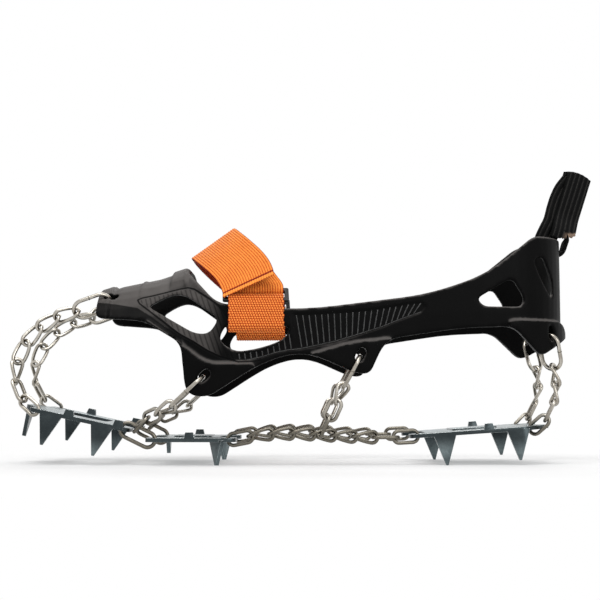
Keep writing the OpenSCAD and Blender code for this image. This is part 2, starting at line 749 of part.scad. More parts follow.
placed() harness();
placed() heel_tab();
placed() strap_loop();  // strap_loop_left
right_side() strap_loop();  // strap_loop_right
placed() strap_ring();  // strap_ring_left
right_side() strap_ring();  // strap_ring_right
placed() strap_band();
placed() strap_tail();
placed() toe_plate();
placed() ball_plate();
placed() heel_plate();
placed() steel_links([plate_link]);  // plate_link_left
right_side() steel_links([plate_link]);  // plate_link_right
placed() steel_links([toe_ring]);  // toe_ring_left
right_side() steel_links([toe_ring]);  // toe_ring_right
placed() steel_links(toe_links);  // toe_chain_left
right_side() steel_links(toe_links);  // toe_chain_right
placed() steel_links([front_ring]);  // front_ring_left
right_side() steel_links([front_ring]);  // front_ring_right
placed() steel_links(front_links);  // front_chain_left
right_side() steel_links(front_links);  // front_chain_right
placed() steel_links([middle_ring]);  // middle_ring_left
right_side() steel_links([middle_ring]);  // middle_ring_right
placed() steel_links(middle_links);  // middle_chain_left
right_side() steel_links(middle_links);  // middle_chain_right
placed() steel_links([heel_ring]);  // heel_ring_left
right_side() steel_links([heel_ring]);  // heel_ring_right
placed() steel_links(heel_links);  // heel_chain_left
right_side() steel_links(heel_links);  // heel_chain_right
placed() steel_links(sole_links);  // sole_chain_left
right_side() steel_links(sole_links);  // sole_chain_right
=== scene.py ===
"""Looks of an ice cleat for a boot.

Elastomer harness, steel chains, spiked plates, instep strap and heel tab.
"""

import math

import bpy
import numpy as np
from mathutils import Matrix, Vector


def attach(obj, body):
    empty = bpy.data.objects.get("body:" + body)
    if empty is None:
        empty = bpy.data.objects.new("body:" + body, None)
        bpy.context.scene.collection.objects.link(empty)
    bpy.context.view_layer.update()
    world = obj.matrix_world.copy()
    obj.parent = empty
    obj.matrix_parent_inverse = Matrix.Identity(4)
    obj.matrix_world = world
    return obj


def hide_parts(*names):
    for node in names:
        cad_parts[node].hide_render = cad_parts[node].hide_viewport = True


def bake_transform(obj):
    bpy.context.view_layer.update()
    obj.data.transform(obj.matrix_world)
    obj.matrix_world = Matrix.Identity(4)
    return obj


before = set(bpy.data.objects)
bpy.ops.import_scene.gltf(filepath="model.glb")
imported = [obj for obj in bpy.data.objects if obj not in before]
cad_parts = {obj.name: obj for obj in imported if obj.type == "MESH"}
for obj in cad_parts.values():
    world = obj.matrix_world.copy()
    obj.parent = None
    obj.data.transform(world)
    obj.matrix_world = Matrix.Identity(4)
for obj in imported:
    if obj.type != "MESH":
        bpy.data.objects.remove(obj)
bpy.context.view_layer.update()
bpy.ops.object.select_all(action="DESELECT")

# Pieces are measured in millimetres, the stage in metres. SHIFT takes a measured place into the frame
MM = 0.001
SHIFT = Vector((-3.54, 0, 0))
MERGE = 0.002


# Selecting, editing and finishing pieces, as by hand

def take(piece):
    """Makes a piece the only selected object."""
    bpy.ops.object.select_all(action="DESELECT")
    piece.select_set(True)
    bpy.context.view_layer.objects.active = piece


def edit(piece):
    """Opens a piece in edit mode with everything selected."""
    take(piece)
    bpy.ops.object.mode_set(mode="EDIT")
    bpy.ops.mesh.select_all(action="SELECT")


def close_edit():
    bpy.ops.object.mode_set(mode="OBJECT")


def pick(piece, chosen):
    """Opens a piece in edit mode with only the chosen vertices selected."""
    edit(piece)
    bpy.ops.mesh.select_mode(type="VERT")
    bpy.ops.mesh.select_all(action="DESELECT")
    close_edit()
    piece.data.vertices.foreach_set("select", chosen)
    bpy.ops.object.mode_set(mode="EDIT")


def apply(piece, kind, **settings):
    """Adds a modifier and applies it."""
    modifier = piece.modifiers.new(kind.title(), kind)
    for key, value in settings.items():
        setattr(modifier, key, value)
    take(piece)
    bpy.ops.object.modifier_apply(modifier=modifier.name)


def copy_of(node, name):
    """A new piece with the shape of a CAD node, its loose triangles merged."""
    piece = bpy.data.objects.new(name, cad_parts[node].data.copy())
    bpy.context.scene.collection.objects.link(piece)
    piece.data.materials.clear()
    edit(piece)
    bpy.ops.mesh.remove_doubles(threshold=MERGE * MM)
    close_edit()
    return piece


def joined(name, pieces):
    """Several pieces made one."""
    take(pieces[0])
    for piece in pieces[1:]:
        piece.select_set(True)
    if len(pieces) > 1:
        bpy.ops.object.join()
    pieces[0].name = name
    return pieces[0]


def fit(piece, body, slot, material, *nodes):
    """Puts a finished piece on its body in place of its CAD nodes."""
    if not piece.data.materials:
        piece.data.materials.append(material)
    piece.data.materials[0] = material
    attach(piece, body)
    if nodes:
        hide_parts(*nodes)
    return piece


def smooth(piece, angle=40):
    take(piece)
    bpy.ops.object.shade_smooth_by_angle(angle=math.radians(angle))


def vertex_array(mesh, key="co"):
    values = np.empty(len(mesh.vertices) * 3, np.float32)
    mesh.vertices.foreach_get(key, values)
    return values.reshape(-1, 3).astype(float)


def set_vertices(mesh, places):
    mesh.vertices.foreach_set("co", places.astype(np.float32).ravel())
    mesh.update()


def keep_number(mesh, name, values):
    """Keeps a number on each vertex, for the finish to read."""
    mesh.attributes.new(name, "FLOAT", "POINT").data.foreach_set("value", values.astype(np.float32))


# Shader nodes

class Value:
    """A socket that does arithmetic: an expression on values adds Math nodes."""

    def __init__(self, shader, socket):
        self.shader = shader
        self.socket = socket

    def maths(self, operation, *others):
        inputs = {i: value for i, value in enumerate((self,) + others)}
        return self.shader.node("ShaderNodeMath", {"operation": operation}, inputs)

    def turned(self, operation, other):
        return self.shader.node("ShaderNodeMath", {"operation": operation}, {0: other, 1: self})

    def __add__(self, other):
        return self.maths("ADD", other)

    def __sub__(self, other):
        return self.maths("SUBTRACT", other)

    def __mul__(self, other):
        return self.maths("MULTIPLY", other)

    def __truediv__(self, other):
        return self.maths("DIVIDE", other)

    def __rsub__(self, other):
        return self.turned("SUBTRACT", other)

    __radd__ = __add__
    __rmul__ = __mul__

    def floor(self):
        return self.maths("FLOOR")

    def wave(self, pitch):
        """0 at each multiple of pitch and 1 half way between."""
        return 0.5 - 0.5 * (self * (2 * math.pi / pitch)).maths("COSINE")

    def size(self):
        return self.maths("ABSOLUTE")

    def clipped(self, low, high):
        """0 below low, 1 above high."""
        settings = {"interpolation_type": "SMOOTHSTEP"}
        sockets = {"Value": self, "From Min": low, "From Max": high}
        return self.shader.node("ShaderNodeMapRange", settings, sockets)


class Shader:
    """A material made of nodes, round one Principled shader."""

    def __init__(self, name, **constants):
        self.material = bpy.data.materials.new(name)
        self.material.use_nodes = True
        self.tree = self.material.node_tree
        self.surface = self.tree.nodes["Principled BSDF"]
        for socket, value in constants.items():
            self.surface.inputs[socket.replace("_", " ")].default_value = value

    def node(self, kind, settings=None, sockets=None, output=0):
        made = self.tree.nodes.new(kind)
        for key, value in (settings or {}).items():
            if key == "stops":
                self.set_stops(made.color_ramp, value)
            else:
                setattr(made, key, value)
        for key, value in (sockets or {}).items():
            if isinstance(value, Value):
                self.tree.links.new(value.socket, made.inputs[key])
            else:
                made.inputs[key].default_value = value
        return Value(self, made.outputs[output])

    def set_stops(self, ramp, stops):
        while len(ramp.elements) < len(stops):
            ramp.elements.new(0.5)
        for element, (place, colour) in zip(ramp.elements, stops):
            element.position = place
            element.color = colour

    def attribute(self, name):
        """A number kept on the piece's own vertices."""
        return self.node("ShaderNodeAttribute", {"attribute_name": name}, output="Fac")

    def part(self, vector, axis):
        return self.node("ShaderNodeSeparateXYZ", None, {0: vector}, output=axis)

    def place(self, axis):
        """The frame's own X, Y or Z in millimetres."""
        return self.part(self.node("ShaderNodeTexCoord", output="Object"), axis) * (1 / MM)

    def facing_up(self):
        """1 where the surface faces up, -1 where it faces down."""
        return self.part(self.node("ShaderNodeNewGeometry", output="Normal"), 2)

    def along(self, axis):
        """The piece's own UV map, which is in millimetres: 0 across, 1 along."""
        return self.part(self.node("ShaderNodeTexCoord", output="UV"), axis)

    def noise(self, size, detail=3.0, roughness=0.55, stretch=(1, 1, 1)):
        """Noise with features of about size millimetres."""
        where = self.node("ShaderNodeTexCoord", output="Object")
        scale = tuple(s / MM for s in stretch)
        mapped = self.node("ShaderNodeMapping", None, {"Vector": where, "Scale": scale})
        sockets = {"Vector": mapped, "Scale": 1 / size, "Detail": detail, "Roughness": roughness}
        return self.node("ShaderNodeTexNoise", None, sockets)

    def ramp(self, value, *stops):
        return self.node("ShaderNodeValToRGB", {"stops": stops}, {"Fac": value})

    def mixed(self, factor, a, b):
        sockets = {"Factor": factor, 6: a, 7: b}
        return self.node("ShaderNodeMix", {"data_type": "RGBA"}, sockets, output=2)

    def feed(self, **values):
        for socket, value in values.items():
            self.tree.links.new(value.socket, self.surface.inputs[socket.replace("_", " ")])

    def bump(self, height, distance, strength=1.0):
        """Bump of a height from 0 to 1, distance in millimetres."""
        sockets = {"Height": height, "Distance": distance * MM, "Strength": strength}
        self.feed(Normal=self.node("ShaderNodeBump", None, sockets))


class Surroundings(Shader):
    """The world's light, made of nodes round one Background shader."""

    def __init__(self, name):
        world = bpy.data.worlds.new(name)
        bpy.context.scene.world = world
        world.use_nodes = True
        self.tree = world.node_tree
        self.surface = self.tree.nodes["Background"]
        self.surface.inputs["Color"].default_value = grey(1)


def grey(level):
    return (level, level, level, 1)


# Finishes

def elastomer():
    """Black moulded elastomer: satin, with painted light where it faces up, partly as dust, painted shade on
    the upright side below the toe's crease, and lines moulded into its front panel, darkened with painted
    shade.
    """
    shader = Shader("black_elastomer", Specular_IOR_Level=0.045)
    patches = shader.noise(14, 4)
    grain = shader.noise(0.35, 2)
    outer = shader.attribute("outer_face")
    panel = shader.attribute("panel_depth")
    # Painted shade on the upright side below the toe's crease, and painted light on faces that face up,
    # partly as dust.
    side = shader.attribute("side_depth").clipped(-0.3, 0.3) * outer
    top_light_and_dust = shader.facing_up().clipped(0.12, 0.85) * (1 - 0.85 * side)
    # Paler on the front part of the surround panel, on its outer face.
    toned_zone = panel.clipped(0.4, 0.9) * outer * (1 - shader.place(0).clipped(-54, -40))
    top_light_and_dust = top_light_and_dust.maths("MAXIMUM", 0.75 * toned_zone)
    # The groove round the surround and the slanting stripes on the front panel are sunk by bump, and darkened
    # with painted shade.
    groove_with_shade = (1 - panel.size().clipped(0.25, 0.6)) * outer
    stripes_with_shade = (shader.place(0) + 0.35 * shader.place(2)).wave(2.5).clipped(0.55, 0.95)
    stripes_with_shade = stripes_with_shade * panel.clipped(0.7, 1.1) * outer
    tone = (top_light_and_dust * (0.55 + 0.45 * patches) + 0.10 * patches) * (1 - 0.8 * groove_with_shade) * (1 - 0.4 * stripes_with_shade)
    shader.feed(
        Base_Color=shader.ramp(
            tone,
            (0.0, grey(0.0010)),
            (0.1, grey(0.0022)),
            (1.0, (0.118, 0.109, 0.104, 1)),
        ),
        Roughness=0.40 + 0.12 * patches + 0.15 * top_light_and_dust,
    )
    shader.bump(grain * 0.06 + patches * 0.06 - groove_with_shade * 0.6 - stripes_with_shade * 0.2 + 0.9, 0.5, 0.6)
    return shader.material


def rib_elastomer():
    """The thin raised ribs, paler than the band they stand on."""
    shader = Shader("black_elastomer_ribs", Specular_IOR_Level=0.25)
    patchy = shader.noise(3, 3)
    shader.feed(
        Base_Color=shader.ramp(patchy, (0.3, grey(0.030)), (0.75, grey(0.085))),
        Roughness=0.42 + 0.15 * patchy,
    )
    return shader.material


def wire_steel():
    """Bright round wire: warm grey, with painted shade on the inner and outer sides of each link and on the
    weld beads, and painted shade towards the ground.
    """
    shader = Shader("chain_wire_steel", Metallic=1.0)
    tone = shader.noise(6, 3)
    marks = shader.noise(0.6, 4, 0.7)
    inside = shader.attribute("link_inside")
    # Painted shade: strong on the inside of each link and on the weld beads, weaker on its outside.
    toned_zone = inside.clipped(0.15, 0.85) * 0.75 + (-1 * inside).clipped(0.5, 1) * 0.3
    # More painted shade lower down, towards the ground, varied by tone.
    painted_shade = ((1 - shader.place(2).clipped(18, 34)) * (0.6 + 0.4 * tone)).maths("MAXIMUM", toned_zone)
    unshaded = shader.ramp(tone, (0.3, (0.36, 0.33, 0.285, 1)), (0.7, (0.60, 0.57, 0.51, 1)))
    shaded_tone = shader.ramp(marks, (0.3, (0.030, 0.026, 0.018, 1)), (0.75, (0.15, 0.135, 0.10, 1)))
    shader.feed(Base_Color=shader.mixed(painted_shade, unshaded, shaded_tone), Roughness=0.15 + 0.14 * marks + 0.12 * painted_shade)
    shader.bump(marks, 0.03, 0.35)
    return shader.material


def sheet_steel():
    """Cool satin sheet steel, rolled along X, with short scratches and dark patches, and a painted reflection
    of the dark sole on its upright faces higher up.
    """
    shader = Shader("plate_sheet_steel", Metallic=1.0)
    tone = shader.noise(8, 4, 0.6)
    rolled = shader.noise(0.5, 4, 0.65, stretch=(0.06, 1, 1))
    scratches = shader.noise(0.8, 5, 0.75, stretch=(1, 0.15, 0.5))
    # Painted reflection of the dark sole: upright faces darken higher up, towards the sole above.
    upright = 1 - shader.facing_up().size().clipped(0.3, 0.8)
    root = upright * (shader.place(2) + 4 * tone).clipped(8, 17)
    unshaded = shader.ramp(
        tone + 0.25 * scratches - 0.12,
        (0.3, (0.085, 0.105, 0.111, 1)),
        (0.55, (0.16, 0.198, 0.206, 1)),
        (0.8, (0.28, 0.335, 0.345, 1)),
    )
    shader.feed(
        Base_Color=shader.mixed(0.85 * root, unshaded, (0.022, 0.027, 0.029, 1)),
        Roughness=0.18 + 0.24 * rolled,
    )
    shader.bump(rolled * 0.6 + scratches * 0.4, 0.04, 0.3)
    return shader.material


def edge_steel():
    """Edges of the sheet steel, brighter than its faces."""
    shader = Shader("plate_edge_steel", Metallic=1.0)
    patchy = shader.noise(1.5, 3, 0.6)
    shader.feed(
        Base_Color=shader.ramp(patchy, (0.2, (0.50, 0.57, 0.58, 1)), (0.55, (0.82, 0.88, 0.88, 1))),
        Roughness=0.16 + 0.2 * patchy,
    )
    return shader.material


# Sheen of the strap, the step of its cross threads, and how far each twill row is set off, in pitches
ORANGE_SHEEN = {"Sheen_Weight": 0.05, "Sheen_Roughness": 0.4, "Specular_IOR_Level": 0.25}
THREAD = 0.62
TWILL_SLANT = 0.34


def orange_rib_webbing(rib_pitch):
    """Orange webbing with ribs along it and a fine thread across: painted highlight on the crests, painted
    shade in the valleys and in the seam's dip, and a painted highlight on the rolled end.
    """
    shader = Shader("orange_ribbed_webbing", **ORANGE_SHEEN)
    across, along = shader.along(0), shader.along(1)
    crest = across.wave(rib_pitch)
    thread = (along + 0.25 * crest).wave(THREAD)
    fuzz = shader.noise(0.5, 4, 0.7)
    fade = shader.noise(11, 2)
    seam = along.clipped(1.5, 1.9) * (1 - along.clipped(2.7, 3.2))
    roll = 1 - along.clipped(1, 1.6)
    # Colour follows the relief: painted shade in the valleys and the seam's dip, painted highlight on the
    # crests and the rolled end.
    depth = crest * 0.72 + thread * 0.18 + fuzz * 0.2 + fade * 0.12 - 0.5 * seam + 0.25 * roll
    shader.feed(
        Base_Color=shader.ramp(
            depth,
            (0.40, (0.19, 0.010, 0.001, 1)),
            (0.68, (0.62, 0.078, 0.005, 1)),
            (1.0, (0.98, 0.33, 0.05, 1)),
        ),
        Roughness=0.9 - 0.2 * crest,
    )
    shader.bump(thread * 0.5 + fuzz * 0.5, 0.12, 0.8)
    return shader.material


def orange_twill_webbing(pitch):
    """Orange twill webbing: rows of small slanting threads, with painted highlight on the threads and painted
    shade in the gaps.
    """
    shader = Shader("orange_twill_webbing", **ORANGE_SHEEN)
    across, along = shader.along(0), shader.along(1)
    row = (along / pitch[1]).floor()
    step = across + row * (pitch[0] * TWILL_SLANT)
    bump = step.wave(pitch[0]) * along.wave(pitch[1])
    fuzz = shader.noise(0.45, 4, 0.7)
    # Colour follows the relief: painted shade in the gaps, painted highlight on the threads.
    depth = bump * 0.75 + fuzz * 0.25
    shader.feed(
        Base_Color=shader.ramp(
            depth,
            (0.22, (0.15, 0.008, 0.001, 1)),
            (0.54, (0.62, 0.080, 0.007, 1)),
            (0.88, (0.98, 0.33, 0.06, 1)),
        ),
        Roughness=0.88 - 0.2 * bump,
    )
    shader.bump(bump * 0.6 + fuzz * 0.4, 0.15, 0.8)
    return shader.material


# Longer than any strip
NOT_FRAYED = 1000


def black_webbing(rib_pitch, frayed_from=NOT_FRAYED):
    """Black webbing of the heel tab: ridges along it, fine thread across, a painted highlight on the crests,
    a pale frayed end.
    """
    shader = Shader("black_ribbed_webbing", Sheen_Weight=0.02, Sheen_Roughness=0.4, Specular_IOR_Level=0.08)
    across, along = shader.along(0), shader.along(1)
    crest = across.wave(rib_pitch)
    thread = along.wave(0.7)
    fuzz = shader.noise(0.5, 4, 0.7)
    # Colour follows the relief: painted highlight, pale and warm, on the crests; near black in the valleys.
    depth = crest * 0.4 + thread * 0.2 + fuzz * 0.4
    black = shader.ramp(depth, (0.3, grey(0.0015)), (0.6, grey(0.006)), (0.85, (0.055, 0.051, 0.047, 1)))
    worn = (along + 2.4 * fuzz).clipped(frayed_from, frayed_from + 1.5) * across.clipped(7, 11)
    shader.feed(
        Base_Color=shader.mixed(worn * 0.8, black, (0.27, 0.19, 0.14, 1)),
        Roughness=0.8 - 0.25 * crest,
    )
    shader.bump(thread * 0.5 + fuzz * 0.5, 0.12, 0.7)
    return shader.material


def gloss_black():
    """Glossy black moulded plastic of the strap rings."""
    shader = Shader("ring_black_plastic", Specular_IOR_Level=0.5)
    swirl = shader.noise(4, 3)
    shader.feed(
        Base_Color=shader.ramp(swirl, (0.3, grey(0.008)), (0.7, grey(0.014))),
        Roughness=0.18 + 0.14 * swirl,
    )
    shader.bump(swirl, 0.03, 0.3)
    return shader.material


# Stage: a white floor that runs up into a backdrop, soft light and the camera

def background_rays(shader):
    """1 for what the camera sees, straight, mirrored or through glass."""
    camera_ray, glossy_ray, glass_ray = (
        shader.node("ShaderNodeLightPath", output=f"Is {ray} Ray")
        for ray in ("Camera", "Glossy", "Transmission")
    )
    return camera_ray.maths("MAXIMUM", glossy_ray).maths("MAXIMUM", glass_ray)


def white_paper():
    """Matt white paper that glows plain white away from the object, and takes its shadow close to it."""
    shader = Shader("white_paper", Roughness=0.9, Specular_IOR_Level=0.1)
    mottle = shader.noise(160, 2)
    shader.feed(Base_Color=shader.ramp(mottle, (0.0, grey(0.86)), (1.0, grey(0.90))))
    reach = shader.node("ShaderNodeTexCoord", output="Object")
    reach = shader.node("ShaderNodeMapping", None, {"Vector": reach, "Scale": (4, 6, 4)})
    reach = shader.node("ShaderNodeVectorMath", {"operation": "LENGTH"}, {0: reach}, output="Value")
    glow = shader.node("ShaderNodeEmission", None, {"Color": grey(1), "Strength": 1})
    share = background_rays(shader) * (0.35 + 0.65 * reach.clipped(0.6, 1.6))
    sockets = {"Fac": share, 1: Value(shader, shader.surface.outputs[0]), 2: glow}
    mix = shader.node("ShaderNodeMixShader", None, sockets)
    shader.tree.links.new(mix.socket, shader.tree.nodes["Material Output"].inputs["Surface"])
    return shader.material


def white_stage():
    bpy.ops.mesh.primitive_plane_add(size=2.4, location=(0, 0.3, 0))
    floor = bpy.context.object
    floor.name = "floor"
    pick(floor, vertex_array(floor.data)[:, 1] > 1)
    bpy.ops.mesh.extrude_edges_move(TRANSFORM_OT_translate={"value": (0, 0, 1.6)})
    close_edit()
    apply(floor, "BEVEL", width=0.5, segments=12, limit_method="ANGLE")
    smooth(floor, 60)
    take(floor)
    bpy.ops.object.transform_apply(location=True)
    floor.data.materials.append(white_paper())


def soft_box(name, place, aim, size, power):
    bpy.ops.object.light_add(type="AREA", location=place)
    light = bpy.context.object
    light.name = name
    light.data.shape = "RECTANGLE"
    light.data.size, light.data.size_y = size
    light.data.energy = power
    light.rotation_euler = (Vector(aim) - Vector(place)).to_track_quat("-Z", "Y").to_euler()


def studio():
    sky = Surroundings("studio")
    sky.tree.links.new((0.42 + 0.58 * background_rays(sky)).socket, sky.surface.inputs["Strength"])
    soft_box("key_box", (-0.2, -0.5, 1.2), (0, 0, 0.06), (0.9, 0.7), 9.5)
    soft_box("fill_box", (0.6, -1.0, 0.5), (0, 0, 0.06), (0.7, 0.5), 4)
    soft_box("rim_box", (0.1, 0.95, 0.9), (0, 0, 0.08), (1.0, 0.5), 6)


# The camera, in metres: how far it stands from the middle plane, how high, and how far it tips up, in degrees
CAMERA_AWAY, CAMERA_HEIGHT, CAMERA_TIP = 0.720, 0.0336, 4.33
CAMERA_LENS, CAMERA_SENSOR = 79.3, 36


def camera():
    bpy.ops.object.camera_add(location=(SHIFT.x * MM, -CAMERA_AWAY, CAMERA_HEIGHT))
    view = bpy.context.object
    view.rotation_euler = (math.radians(90 + CAMERA_TIP), 0, 0)
    view.data.lens = CAMERA_LENS
    view.data.sensor_width = CAMERA_SENSOR
    view.data.clip_start = 0.01
    bpy.context.scene.camera = view
    bpy.context.scene.view_settings.view_transform = "Standard"


white_stage()
studio()
camera()


# Steel: the CAD shapes with round wire and broken edges

def link_turn(x, y, z):
    """How a twisted link turns about its length: its turn at the middle, and its turn per millimetre."""
    turns, marks = [], []
    for end in (-1, 1):
        chosen = x * end > 0.3 * x.max()
        across = np.cov(y[chosen], z[chosen])
        turns.append(0.5 * math.atan2(2 * across[0, 1], across[0, 0] - across[1, 1]))
        marks.append(np.average(x[chosen], weights=y[chosen] ** 2 + z[chosen] ** 2))
    change = (turns[1] - turns[0] + math.pi / 2) % math.pi - math.pi / 2
    rate = change / (marks[1] - marks[0])
    return turns[0] - rate * marks[0], rate


def link_track(share, half, radius):
    """Middle line of a long link with round ends: places along and across, and the way outwards."""
    bend, side = math.pi * radius, 2 * half
    gone = (share % 1) * 2 * (bend + side)
    second = gone >= bend + side
    gone = np.where(second, gone - bend - side, gone)
    angle = np.minimum(gone / radius, math.pi) - math.pi / 2
    out = np.stack([np.cos(angle), np.sin(angle)])
    place = radius * out + np.stack([half - np.maximum(gone - bend, 0), np.zeros(len(gone))])
    flip = np.where(second, -1, 1)
    return place * flip, out * flip


def link_frame(places):
    """Middle of a link, and its own directions: along, across and square to both."""
    middle = (places.max(axis=0) + places.min(axis=0)) / 2
    for _ in range(2):
        ways = np.linalg.eigh(np.cov((places - middle).T))[1].T[::-1]
        ways[2] = np.cross(ways[0], ways[1])
        reach = (places - middle) @ ways.T
        middle = middle + (reach.max(axis=0) + reach.min(axis=0)) / 2 @ ways
    return middle, ways


def round_link(shell, wire):
    """A link of round wire, with the length, width, twist and place of one link of the CAD chain."""
    places = vertex_array(shell.data) / MM
    middle, ways = link_frame(places)
    x, y, z = ((places - middle) @ ways.T).T
    turn, rate = link_turn(x, y, z)
    width = (y * np.cos(turn + rate * x) + z * np.sin(turn + rate * x)).max()
    radius = width - wire / 2
    bpy.ops.mesh.primitive_torus_add(
        major_radius=radius * MM, minor_radius=wire / 2 * MM, major_segments=56, minor_segments=14
    )
    link = bpy.context.object
    ring = vertex_array(link.data) / MM
    outwards = np.hypot(*ring[:, :2].T) - radius
    # Across the wire: +1 on the link's inside, -1 on its outside; the finish paints shade from it.
    keep_number(link.data, "link_inside", -2 * outwards / wire)
    place, out = link_track(np.arctan2(ring[:, 1], ring[:, 0]) / (2 * math.pi), x.max() - width, radius)
    x, across = place + out * outwards
    angle = turn + rate * x
    y = across * np.cos(angle) - ring[:, 2] * np.sin(angle)
    z = across * np.sin(angle) + ring[:, 2] * np.cos(angle)
    set_vertices(link.data, (np.stack([x, y, z], axis=1) @ ways + middle) * MM)
    return link


def round_wire(node, name, wire):
    """The links of a CAD chain, each made anew of round wire."""
    chain = copy_of(node, name)
    edit(chain)
    bpy.ops.mesh.separate(type="LOOSE")
    close_edit()
    shells = list(bpy.context.selected_objects)
    links = [round_link(shell, wire) for shell in shells]
    for shell in shells:
        bpy.data.objects.remove(shell)
    chain = joined(name, links)
    smooth(chain, 80)
    return chain


# A weld bead in shares of the wire it sits on
BEAD_RADIUS, BEAD_SWELL = 0.38, 0.21


def weld_bead(ring, wire):
    """Small swollen weld at the middle of a ring's outer side."""
    places = vertex_array(ring.data) / MM
    middle, (along, across, _) = link_frame(places)
    across = across * np.sign(across[1] * middle[1])
    at = middle + across * (((places - middle) @ across).max() - wire / 2)
    bpy.ops.mesh.primitive_torus_add(
        major_radius=BEAD_RADIUS * wire * MM, minor_radius=BEAD_SWELL * wire * MM,
        major_segments=20, minor_segments=10,
        location=at * MM, rotation=Vector(along).to_track_quat("Z", "Y").to_euler()
    )
    bead = bpy.context.object
    bpy.ops.object.transform_apply(location=True, rotation=True)
    # The whole bead counts as a link's inside, so it takes that painted shade.
    keep_number(bead.data, "link_inside", np.ones(len(bead.data.vertices)))
    smooth(bead, 80)
    return bead


def broken_edges(node, name, width):
    """A sheet-metal plate with its sharp edges broken."""
    piece = copy_of(node, name)
    edit(piece)
    bpy.ops.mesh.dissolve_limited(angle_limit=math.radians(1))
    close_edit()
    piece.data.materials.append(plate_finish)
    piece.data.materials.append(edge_finish)
    sharp = math.radians(35)
    apply(piece, "BEVEL", width=width * MM, segments=2, limit_method="ANGLE", angle_limit=sharp, material=1)
    smooth(piece, 35)
    return piece


# Thickness of the chain links and of the rings, and width of the broken edges
WIRE, RING_WIRE = 1.95, 2.1
PLATE_EDGE = 0.4
chain_finish = wire_steel()
plate_finish = sheet_steel()
edge_finish = edge_steel()

for side in ("left", "right"):
    for run in ("toe", "front", "middle", "heel", "sole"):
        body = f"{run}_chain_{side}"
        links = round_wire(body, f"{run}_links_{side}", WIRE)
        fit(links, body, "chain_steel", chain_finish, body)
        if run != "sole":
            ring = round_wire(f"{run}_ring_{side}", f"{run}_long_link_{side}", RING_WIRE)
            ring = joined(f"{run}_long_link_{side}", [ring, weld_bead(ring, RING_WIRE)])
            fit(ring, body, "chain_steel", chain_finish, f"{run}_ring_{side}")
    link = round_wire(f"plate_link_{side}", f"plate_coupling_link_{side}", RING_WIRE)
    fit(link, "harness", "chain_steel", chain_finish, f"plate_link_{side}")

for plate, body in (("toe_plate", "toe_plate"), ("ball_plate", "harness"), ("heel_plate", "heel_plate")):
    piece = broken_edges(plate, plate.replace("plate", "spike_plate"), PLATE_EDGE)
    fit(piece, body, "plate_steel", plate_finish, plate)


# Harness: one moulding with rounded edges, sunk panels and thin ribs

# Thickness of the band, and the rounded form it lies on: half width and height of its top, by X
BAND = 4.0
SPRING_Z, LAST_POWER = 50.0, 2.3
LAST_X = (-112, -104, -95, -75, -60, -45, -25, 0, 30, 60, 95)
LAST_HALF_WIDTH = (35, 38.4, 41, 45, 46.8, 47, 45.8, 43, 40, 38, 36.5)
LAST_TOP = (86, 88, 91, 95, 100, 120, 137, 152, 168, 175, 178)

# Sunk panels in side view: the long ribbed one, and its run below the strap's window
PANELS = [
    ((-4, 60), (-4, 78), (10, 78.6), (22.5, 79.4), (34.3, 80.3), (44.6, 81.8), (53.9, 83.4),
     (62.7, 84.6), (65.6, 81.9), (62.7, 78.2), (52.3, 74.4), (42, 70.2), (30.2, 66.4),
     (18.4, 62.8), (8.2, 60.4), (-1, 58.6)),
    ((-4, 67), (-11.2, 62.6), (-18.8, 59.4), (-26.4, 58.2), (-33, 57.8), (-33, 53.4), (-27.4, 53),
     (-18.8, 54.9), (-12.7, 56.9), (-6.6, 58.2), (-1, 58.6)),
]
# Ends of the ribs in side view: the panel's upper and lower line, and the lower edge of the strap's window
FAN_TOP = ((-4, 10, 22.5, 34.3, 44.6, 53.9, 62.7), (77.4, 78, 78.8, 79.7, 81.2, 82.8, 83.8))
FAN_LOW = ((-33, -27.4, -18.8, -12.7, -6.6, -1, 8.2, 18.4, 30.2, 42, 52.3, 62.7),
           (53.9, 53.8, 55.7, 57.7, 59, 59.6, 61.4, 63.8, 67.4, 71.2, 75.4, 79))
WINDOW_LOW = ((-36.5, -30.4, -26.4, -18.8, -11.2, -4.6), (59, 57.1, 57.5, 58.7, 61.8, 68.2))
# In side view: the front window's surround, edged by a groove, and the upright side below the toe's crease,
# where painted shade goes
SURROUND = [
    (-84.6, 85.5), (-82.1, 86.6), (-76.8, 87.6), (-68.4, 89.6), (-62.2, 91.1), (-58.1, 91.6),
    (-54.5, 90.6), (-51.2, 88.4), (-45.9, 85.1), (-41.7, 81.9), (-35, 74), (-34, 62),
    (-20.3, 57), (-20.3, 53.4), (-31.2, 52.9), (-40.8, 55.4), (-47.3, 58.6), (-54.4, 63.1),
    (-60.4, 66.3), (-63.5, 68.4), (-70.5, 73.9), (-77.6, 79.3), (-83.3, 83.5),
]
TOE_SHADED_SIDE = [
    (-112, 85), (-107.3, 84.6), (-95.7, 83.3), (-84.1, 81.1), (-76.9, 76.7), (-68.8, 70.8),
    (-60.4, 65.1), (-59.3, 61.5), (-70, 60), (-112, 70),
]
# Grain of the moulding and its rounds of smoothing, depth of the sunk panels and width of their slope
VOXEL, SOFTENING = 0.85, 5
SINK, SINK_EDGE = 0.6, 0.8
# Raised forms on top of the toe, by X: where each starts to rise, is up, starts to fall and is down
TOE_PAD, TOE_PAD_H = (-68.5, -67, -59.5, -58), 1.5
TOE_LINE, TOE_LINE_H = (-84.5, -83.5, -82.5, -81.5), 0.6
# They stand above this height, and fade out towards the front window's surround
TOE_TOP_Z = 84
TOE_FADE = (0.3, 4)
# Ribs: width, height and depth of their root, step along them, thickness of their shell, and their border
RIB_W, RIB_H, RIB_FOOT = 0.75, 0.55, 0.35
RIB_STEP, RIB_SHELL = 1.5, 0.3
BORDER_W, BORDER_H = 0.5, 0.45
